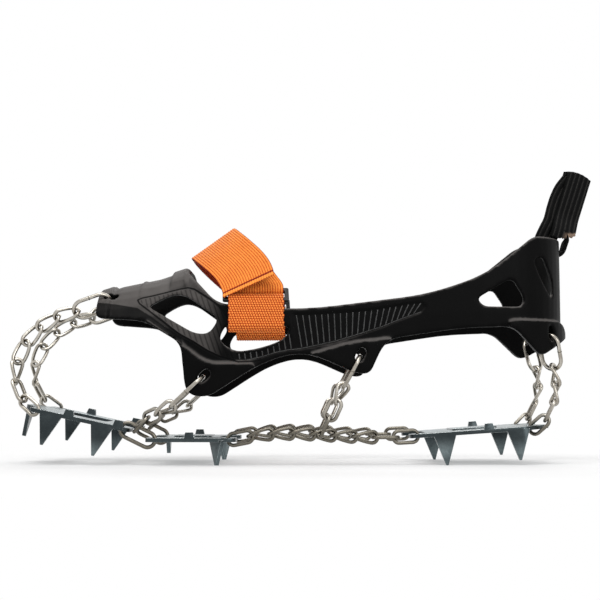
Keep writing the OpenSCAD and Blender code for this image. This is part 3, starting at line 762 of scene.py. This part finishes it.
# Middles of the fan's ribs by X and how they slant, and places of the short ribs and their slant
FAN_MIDDLES = np.linspace(-0.5, 60.5, 21)
FAN_SLANT = ((0, 24, 50, 61), (-0.17, 0, 0.33, 0.7))
FAN_TIP = [(64.2, 80.4), (64.6, 82), (63.6, 83.4), (60, 83.2)]
SHORT_RIBS = np.arange(-30.5, -4, 2.9)
SHORT_SLANT = 0.15


def wall(x, z, off):
    """Distance of the harness's outside from the middle plane."""
    half = np.interp(x, LAST_X, LAST_HALF_WIDTH) + off
    top = np.interp(x, LAST_X, LAST_TOP) + off
    rise = np.maximum(0, np.asarray(z) - SPRING_Z) / (top - SPRING_Z)
    return half * (1 - np.minimum(1, rise) ** LAST_POWER) ** (1 / LAST_POWER)


def depth_in(x, z, outline):
    """How far points lie inside an outline; negative outside."""
    inside = np.zeros(len(x), bool)
    nearest = np.full(len(x), 1e9)
    for (ax, az), (bx, bz) in zip(outline, outline[1:] + outline[:1]):
        dx, dz = bx - ax, bz - az
        share = np.clip(((x - ax) * dx + (z - az) * dz) / (dx * dx + dz * dz), 0, 1)
        nearest = np.minimum(nearest, np.hypot(x - ax - share * dx, z - az - share * dz))
        crosses = (az > z) != (bz > z)
        if dz:
            inside ^= crosses & (x < ax + (z - az) * dx / dz)
    return np.where(inside, nearest, -nearest)


def step(values, low, high):
    return np.clip((values - low) / (high - low), 0, 1)


def raised(x, rise, top, fall, foot):
    """1 between top and fall, sloping to 0 at rise and foot."""
    return step(x, rise, top) * (1 - step(x, fall, foot))


def moulded_harness():
    piece = copy_of("harness", "harness_moulding")
    apply(piece, "REMESH", mode="VOXEL", voxel_size=VOXEL * MM)
    apply(piece, "SMOOTH", factor=0.5, iterations=SOFTENING)
    mesh = piece.data
    places = vertex_array(mesh) / MM - np.array(SHIFT)
    x, z = places[:, 0], places[:, 2]
    normals = vertex_array(mesh, "normal")
    outside = np.clip((normals[:, 1] * np.sign(places[:, 1]) - 0.25) / 0.3, 0, 1)
    sunk = np.zeros(len(places))
    for panel in PANELS:
        sunk = np.maximum(sunk, np.clip(depth_in(x, z, panel) / SINK_EDGE, 0, 1))
    places -= normals * (SINK * sunk * outside)[:, None]
    top = np.clip((normals[:, 2] - 0.2) / 0.3, 0, 1) * (z > TOE_TOP_Z)
    top *= step(-depth_in(x, z, SURROUND), *TOE_FADE)
    pad = raised(x, *TOE_PAD) * TOE_PAD_H
    line = raised(x, *TOE_LINE) * TOE_LINE_H
    places += normals * (top * (pad + line))[:, None]
    keep_number(mesh, "outer_face", outside)
    keep_number(mesh, "panel_depth", depth_in(x, z, SURROUND))
    # Where painted shade goes: the upright side below the toe's crease.
    keep_number(mesh, "side_depth", depth_in(x, z, TOE_SHADED_SIDE))
    set_vertices(mesh, (places + np.array(SHIFT)) * MM)
    smooth(piece, 180)
    return piece


def rib(points, side, width=RIB_W, height=RIB_H):
    """One thin rib on the outside of the band, along points of the side view."""
    points = np.array(points, float)
    marks = np.concatenate([[0], np.cumsum(np.hypot(*np.diff(points, axis=0).T))])
    rows = max(12, int(marks[-1] / RIB_STEP))
    wanted = np.linspace(0, marks[-1], rows + 1)
    line = np.stack([np.interp(wanted, marks, points[:, i]) for i in (0, 1)], axis=1)
    ahead = np.gradient(line, axis=0)
    ahead /= np.hypot(*ahead.T)[:, None]
    bpy.ops.mesh.primitive_grid_add(x_subdivisions=4, y_subdivisions=rows, size=2)
    piece = bpy.context.object
    grid = vertex_array(piece.data)
    share = (grid[:, 1] + 1) / 2
    row = np.rint(share * rows).astype(int)
    x = line[row, 0] + ahead[row, 1] * grid[:, 0] * width / 2
    z = line[row, 1] - ahead[row, 0] * grid[:, 0] * width / 2
    crown = np.sqrt(np.maximum(0, 1 - grid[:, 0] ** 2)) * np.minimum(1, 8 * share * (1 - share))
    y = wall(x, z, BAND) - SINK - RIB_FOOT + (RIB_FOOT + height) * crown
    places = np.stack([x, -y if side == "left" else y, z], axis=1)
    set_vertices(piece.data, (places + np.array(SHIFT)) * MM)
    return piece


def rib_lines():
    """Lines of the ribs in side view: the long fan, and the short ones below the strap's window."""
    lines = []
    for middle in FAN_MIDDLES:
        slope = np.interp(middle, *FAN_SLANT)
        level = (np.interp(middle, *FAN_TOP) + np.interp(middle, *FAN_LOW)) / 2
        ends = []
        for edge in (FAN_LOW, FAN_TOP):
            x = middle
            for _ in range(4):
                z = np.interp(x, *edge)
                x = middle + slope * (z - level)
            ends.append((x, z))
        lines.append(ends)
    for x in SHORT_RIBS:
        low, high = np.interp(x, *FAN_LOW), np.interp(x, *WINDOW_LOW)
        lines.append([(x, low), (x - SHORT_SLANT * (high - low), high)])
    return lines


def fan_border():
    """The line that closes the ribs below and round their rear tip."""
    return list(zip(*FAN_LOW)) + FAN_TIP


harness_finish = elastomer()
rib_finish = rib_elastomer()
fit(moulded_harness(), "harness", "elastomer", harness_finish, "harness")
for side in ("left", "right"):
    ribs = [rib(line, side) for line in rib_lines()] + [rib(fan_border(), side, BORDER_W, BORDER_H)]
    ribs = joined(f"harness_ribs_{side}", ribs)
    if side == "right":
        edit(ribs)
        bpy.ops.mesh.flip_normals()
        close_edit()
    apply(ribs, "SOLIDIFY", thickness=RIB_SHELL * MM, offset=-1)
    smooth(ribs, 60)
    fit(ribs, "harness", "elastomer", rib_finish)


# Webbing: the strap loops, the band with its tail, and the heel tab

# Strap: width and thickness, its turns round the bar and the ring, the strip under its weave, and the weave
WEB_W, WEB_T, LOOP_R, RING_TURN_R = 28.0, 1.4, 3.5, 2.4
WEB_BODY = WEB_T - 0.2
RIB_PITCH = WEB_W / 21
TWILL = (WEB_W / 21, 1.2)
RIB_DEPTH, TWILL_DEPTH, THREAD_DEPTH = 0.34, 0.4, 0.03
STRAP_ALONG = np.array((0.998, 0.064, 0))
STRAP_UP = np.array((-0.007, 0.108, 0.994))
STRAP_OUT = np.cross(STRAP_ALONG, STRAP_UP)
# Middles of the loop's two turns and of the ring's upper bar, and the curve over the instep
LOOP_BOTTOM = np.array((-22.5, -46.7, 72.2))
LOOP_TOP = np.array((-22.6, -45.3, 84.9))
UPPER_BAR = np.array((-22.9, -40.4, 90.0))
RING_UP = np.array((-0.045, 0.696, 0.717))
RING_OUT = np.cross(STRAP_ALONG, RING_UP)
ARCH = np.array(((-22.9, -40.6, 93.2), (-53.7, -20.3, 124.8), (-53.7, 18.6, 124.8), (-23.1, 37.1, 89.9)))
OTHER_SIDE = np.array((1, -1, 1))
BAND_WAY, BAND_TOP_WAY = np.array((1, 0, 0)), np.array((0.812, 0, 0.584))
TAIL_END_WAY = np.array((0.92, 0, 0.4))
# Tail: where it leaves the band, its height over the band along it, at its root and at its free part
TAIL_FROM, TAIL_LIFT_RUN = 0.15, 0.35
TAIL_ON_BAND, TAIL_ROOT_LIFT, TAIL_FREE_LIFT = 2.2, 2.6, 3.6
# The tail's hanging end: its place, the way across it and the way down, and the pull of its two ends
HANG_END, HANG_ACROSS = np.array((-26.1, -50.2, 91.3)), np.array((0.911, 0, 0.412))
HANG_DOWN = np.array((0.05, -0.35, -0.93))
HANG_PULL, LEAVE_PULL = 7, 8
# Heel tab: the eye it turns round, its turn and length, its lean and twist, and the run of the twist
TAB_EYE, TAB_WRAP, TAB_LENGTH = np.array((139, 0, 116.8)), 5.15555, 42
TAB_LEAN, TAB_TWIST = math.radians(18), math.radians(65)
TAB_TWIST_RUN = 16.8
# Width, thickness and ridges of its webbing, and half the space between its legs
TAB_W, TAB_T, TAB_PITCH, TAB_RIDGE = 15, 1.3, 3, 0.4
LEG_GAP = 0.95
# Outer flap: how far out it lies, how far it lifts and slips aside, where that starts and its run, its end
FLAP_OUT, FLAP_LIFT, FLAP_ASIDE = 3.2, 4.8, 0.466
FLAP_LIFT_FROM, FLAP_LIFT_RUN, FLAP_END = 20, 13, 6
FRAYED_FROM = 35.2
FOLD_W, FOLD_T = 13, 1.2
# The fold's line: how high it is on the tab, how far to the left and how far out
FOLD_HEIGHT = (39, 31.6, 25.8, 18.6, 12.4, 7.6, 3, -1)
FOLD_TO_LEFT = (2.6, 5.6, 6.6, 7, 7.4, 9.2, 10.2, 10.6)
FOLD_OUT = (1.9, 1.9, 2, 2.5, 3.6, 5.2, 5.6, 5.6)


def unit(vectors):
    return vectors / np.linalg.norm(vectors, axis=-1, keepdims=True)


def ease(share):
    return 0.5 - 0.5 * np.cos(np.pi * np.clip(share, 0, 1))


def wave(length, pitch):
    return 0.5 - 0.5 * np.cos(2 * np.pi * length / pitch)


def even_steps(points, count, *riders):
    """Points at equal steps on a smooth curve through the given ones, what rides along, and its length."""
    steps = np.linalg.norm(np.diff(points, axis=0), axis=1)
    marks = np.concatenate([[0], np.cumsum(steps)])
    wanted = np.linspace(0, marks[-1], count)
    first = np.clip(np.searchsorted(marks, wanted, side="right") - 1, 0, len(points) - 2)
    gap = steps[first][:, None]
    t = (wanted - marks[first])[:, None] / gap
    results = []
    for values in (points,) + riders:
        slope = np.gradient(values, marks, axis=0)
        a, b = values[first], values[first + 1]
        bend_in, bend_out = slope[first] * gap, slope[first + 1] * gap
        results.append(
            a * (1 + 2 * t) * (1 - t) ** 2 + bend_in * t * (1 - t) ** 2
            + b * t ** 2 * (3 - 2 * t) + bend_out * t ** 2 * (t - 1)
        )
    return results + [marks[-1]]


def webbing(name, path, across, width, thick, grid, lift, shape=None):
    """A woven strip along a path: a grid laid on it, lifted by its weave, and given its thickness."""
    columns, rows = grid
    centre, side, length = even_steps(path, rows + 1, across)
    side = unit(side)
    along = unit(np.gradient(centre, axis=0))
    up = unit(np.cross(side, along))
    bpy.ops.mesh.primitive_grid_add(x_subdivisions=columns, y_subdivisions=rows, size=2)
    piece = bpy.context.object
    piece.name = name
    flat = (vertex_array(piece.data) + 1) / 2
    row = np.rint(flat[:, 1] * rows).astype(int)
    u, v = flat[:, 0], flat[:, 1]
    out = (u - 0.5) * width
    ahead = np.zeros(len(u))
    if shape:
        out, ahead = shape(u, v, out)
    rise = lift(u * width, v * length)
    places = centre[row] + side[row] * out[:, None] + along[row] * ahead[:, None]
    places = places + up[row] * rise[:, None]
    set_vertices(piece.data, (places + np.array(SHIFT)) * MM)
    layer = piece.data.uv_layers.active.data
    map_values = np.empty(len(layer) * 2, np.float32)
    layer.foreach_get("uv", map_values)
    layer.foreach_set("uv", (map_values.reshape(-1, 2) * (width, length)).astype(np.float32).ravel())
    apply(piece, "SOLIDIFY", thickness=thick * MM, offset=0)
    smooth(piece, 70)
    return piece


def bow(t, start, start_pull, end_pull, end):
    """Points on a curve between two ends, each with its pull."""
    return (
        (1 - t) ** 3 * start + 3 * t * (1 - t) ** 2 * start_pull
        + 3 * t ** 2 * (1 - t) * end_pull + t ** 3 * end
    )


def arch(t):
    """Points on the instep curve, from the left ring to the right one."""
    t = np.asarray(t)[:, None]
    return bow(t, *ARCH)


def width_way(t):
    share = np.sin(np.pi * np.asarray(t))[:, None]
    return (1 - share) * BAND_WAY + share * BAND_TOP_WAY


def turn(middle, radius, out, up, start, end, count=13):
    """Points round a bar: one radius, or one outwards and one upwards."""
    out_r, up_r = radius if isinstance(radius, tuple) else (radius, radius)
    angles = np.radians(np.linspace(start, end, count))[:, None]
    return middle + out_r * np.cos(angles) * out + up_r * np.sin(angles) * up


def twill_lift(across, along):
    row = np.floor(along / TWILL[1])
    slanted = wave(across + row * TWILL[0] * TWILL_SLANT, TWILL[0])
    return TWILL_DEPTH * slanted * wave(along, TWILL[1]) - TWILL_DEPTH / 2


def rib_lift(across, along):
    return RIB_DEPTH * wave(across, RIB_PITCH) - RIB_DEPTH / 2 + THREAD_DEPTH * wave(along, THREAD)


def strap_loop(side):
    low = turn(LOOP_BOTTOM, LOOP_R, STRAP_OUT, STRAP_UP, 180, 360)
    top = turn(LOOP_TOP, (LOOP_R, RING_TURN_R), STRAP_OUT, STRAP_UP, 0, 180)
    seam = 0.52 * low[0] + 0.48 * top[-1], 0.48 * low[0] + 0.52 * top[-1]
    path = np.concatenate([[seam[0]], low, top, [seam[1]]])
    across = np.tile(STRAP_ALONG, (len(path), 1))
    if side == "right":
        path, across = path * OTHER_SIDE, -across * OTHER_SIDE
    return webbing(f"strap_loop_twill_{side}", path, across, WEB_W, WEB_BODY, (110, 230), twill_lift)


def strap_band():
    under = turn(UPPER_BAR, RING_TURN_R, RING_OUT, RING_UP, 180, 360)
    shares = np.linspace(0, 1, 25)[1:-1]
    path = np.concatenate([[under[0] + RING_UP * 7], under, arch(shares), under * OTHER_SIDE])
    side_way = np.tile(STRAP_ALONG, (len(under), 1))
    across = np.concatenate([[STRAP_ALONG], side_way, width_way(shares), side_way * OTHER_SIDE])
    return webbing("strap_band_ribbed", path, across, WEB_W, WEB_BODY, (105, 150), rib_lift)


def tail_way(shares):
    """Across the tail: as the band, but turned level towards its free end."""
    share = np.sin(np.pi * shares)[:, None]
    end = (1 - share) * TAIL_END_WAY + share * BAND_TOP_WAY
    return np.where(shares[:, None] < 0.5, end, width_way(shares))


def tail_line(shares):
    """The tail's middle line, which lies on the band and lifts off it towards both ends."""
    along = unit(arch(shares + 0.01) - arch(shares - 0.01))
    at_root = ease((shares - 0.65) / TAIL_LIFT_RUN)
    at_free = ease(1 - shares / TAIL_LIFT_RUN)
    off = TAIL_ON_BAND + TAIL_ROOT_LIFT * at_root + TAIL_FREE_LIFT * at_free
    return arch(shares) + off[:, None] * unit(np.cross(tail_way(shares), along))


def strap_tail():
    """The free tail: it lies on the band, then hangs off it to a rolled end in front of the ring."""
    shares = np.linspace(TAIL_FROM, 1, 22)
    lay, ways = tail_line(shares), tail_way(shares)
    ahead, down = unit(lay[0] - lay[1]), unit(HANG_DOWN)
    t = np.linspace(0, 1, 9)[:-1, None]
    hang = bow(t, HANG_END, HANG_END - HANG_PULL * down, lay[0] + LEAVE_PULL * ahead, lay[0])
    path = np.concatenate([hang, lay])
    across = np.concatenate([(1 - t) * HANG_ACROSS + t * ways[0], ways])

    def lift(across_mm, along_mm):
        roll = 0.5 * (1 - ease((along_mm - 1) / 0.7))
        seam = 0.3 * (ease((along_mm - 1.2) / 0.6) - ease((along_mm - 2.6) / 0.8))
        return rib_lift(across_mm, along_mm) + (roll - seam)

    return webbing("strap_tail_ribbed", path, across, WEB_W, WEB_BODY, (126, 190), lift)


def heel_tab():
    """The loop through the rear eye, with its outer flap and the fold beside it."""
    way = np.array((math.sin(TAB_LEAN), 0, math.cos(TAB_LEAN)))
    back = np.array((math.cos(TAB_LEAN), 0, -math.sin(TAB_LEAN)))
    sideways = np.array((0, 1, 0))

    def leg(s, side):
        twist = TAB_TWIST * np.clip((s - TAB_WRAP) / TAB_TWIST_RUN, 0, 1)[:, None]
        share = ease((s - TAB_WRAP) / (2 * TAB_WRAP))[:, None]
        spread = TAB_WRAP * (1 - share) + LEG_GAP * share
        off = np.cos(twist) * back - np.sin(twist) * sideways
        across = np.cos(twist) * sideways + np.sin(twist) * back
        return TAB_EYE + s[:, None] * way + side * spread * off, across

    up = TAB_LENGTH * np.arange(1, 25) / 24
    front, front_across = leg(up[::-1], -1)
    rear, rear_across = leg(up, 1)
    wrapped = turn(TAB_EYE, -TAB_WRAP, back, way, 0, 180)
    path = np.concatenate([front, wrapped, rear])
    across = np.concatenate([front_across, np.tile(sideways, (len(wrapped), 1)), rear_across])

    def arched(u, v, out):
        at_end = np.clip((np.abs(v - 0.5) - 0.38) / 0.12, 0, 1)
        gather = 1 - 0.22 * np.exp(-((v - 0.5) / 0.10) ** 2)
        return out * gather, np.sign(v - 0.5) * at_end * 1.2 * (0.6 - (2 * u - 1) ** 2)

    def ridges(across_mm, along_mm):
        return TAB_RIDGE * wave(across_mm, TAB_PITCH) - TAB_RIDGE / 2

    def frayed(u, v, out):
        loose = np.clip((v - 0.95) / 0.05, 0, 1) * (0.35 * np.sin(37 * u) + 0.3 * np.sin(91 * u + 1))
        return out, loose + (2 - 4.5 * u ** 2) * v ** 6 - 1.2 * (1 - v) ** 8 * (0.6 - (2 * u - 1) ** 2)

    loop = webbing("heel_tab_webbing", path, across, TAB_W, TAB_T, (60, 200), ridges, arched)
    face = math.cos(TAB_TWIST) * back - math.sin(TAB_TWIST) * sideways
    level = math.cos(TAB_TWIST) * sideways + math.sin(TAB_TWIST) * back
    down = np.linspace(TAB_LENGTH, FLAP_END, 24)
    off = FLAP_LIFT * ease((FLAP_LIFT_FROM - down) / FLAP_LIFT_RUN)[:, None]
    flap_path = TAB_EYE + down[:, None] * way + (FLAP_OUT + off) * face - FLAP_ASIDE * off * level
    flap_across = np.tile(level, (len(flap_path), 1))
    flap = webbing("heel_tab_flap", flap_path, flap_across, TAB_W, TAB_T, (60, 120), ridges, frayed)
    height, to_left, out = np.array((FOLD_HEIGHT, FOLD_TO_LEFT, FOLD_OUT))[..., None]
    fold_path = TAB_EYE + height * way - to_left * level + out * face
    fold_across = np.tile(level, (len(fold_path), 1))
    fold = webbing("heel_tab_fold", fold_path, fold_across, FOLD_W, FOLD_T, (52, 120), ridges)
    loop.data.materials.append(black_webbing(TAB_PITCH))
    fold.data.materials.append(loop.data.materials[0])
    flap.data.materials.append(black_webbing(TAB_PITCH, FRAYED_FROM))
    return joined("heel_tab_webbing", [loop, flap, fold])


RING_EDGE = 0.7
twill = orange_twill_webbing(TWILL)
ribbed = orange_rib_webbing(RIB_PITCH)
ring_finish = gloss_black()
for side in ("left", "right"):
    fit(strap_loop(side), "harness", "strap_webbing", twill, f"strap_loop_{side}")
    ring = copy_of(f"strap_ring_{side}", f"strap_slide_ring_{side}")
    edit(ring)
    bpy.ops.mesh.dissolve_limited(angle_limit=math.radians(1))
    close_edit()
    apply(ring, "BEVEL", width=RING_EDGE * MM, segments=3, limit_method="ANGLE", angle_limit=math.radians(40))
    smooth(ring, 40)
    fit(ring, "harness", "ring_plastic", ring_finish, f"strap_ring_{side}")
fit(strap_band(), "harness", "strap_webbing", ribbed, "strap_band")
tail = strap_tail()
root, free = (tail_line(np.array((1.0, 0.82))) + np.array(SHIFT)) * MM
tail.data.materials.append(ribbed)
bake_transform(tail)
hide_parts("strap_tail")
tab = heel_tab()
fit(tab, "heel_tab", "tab_webbing", tab.data.materials[0], "heel_tab")
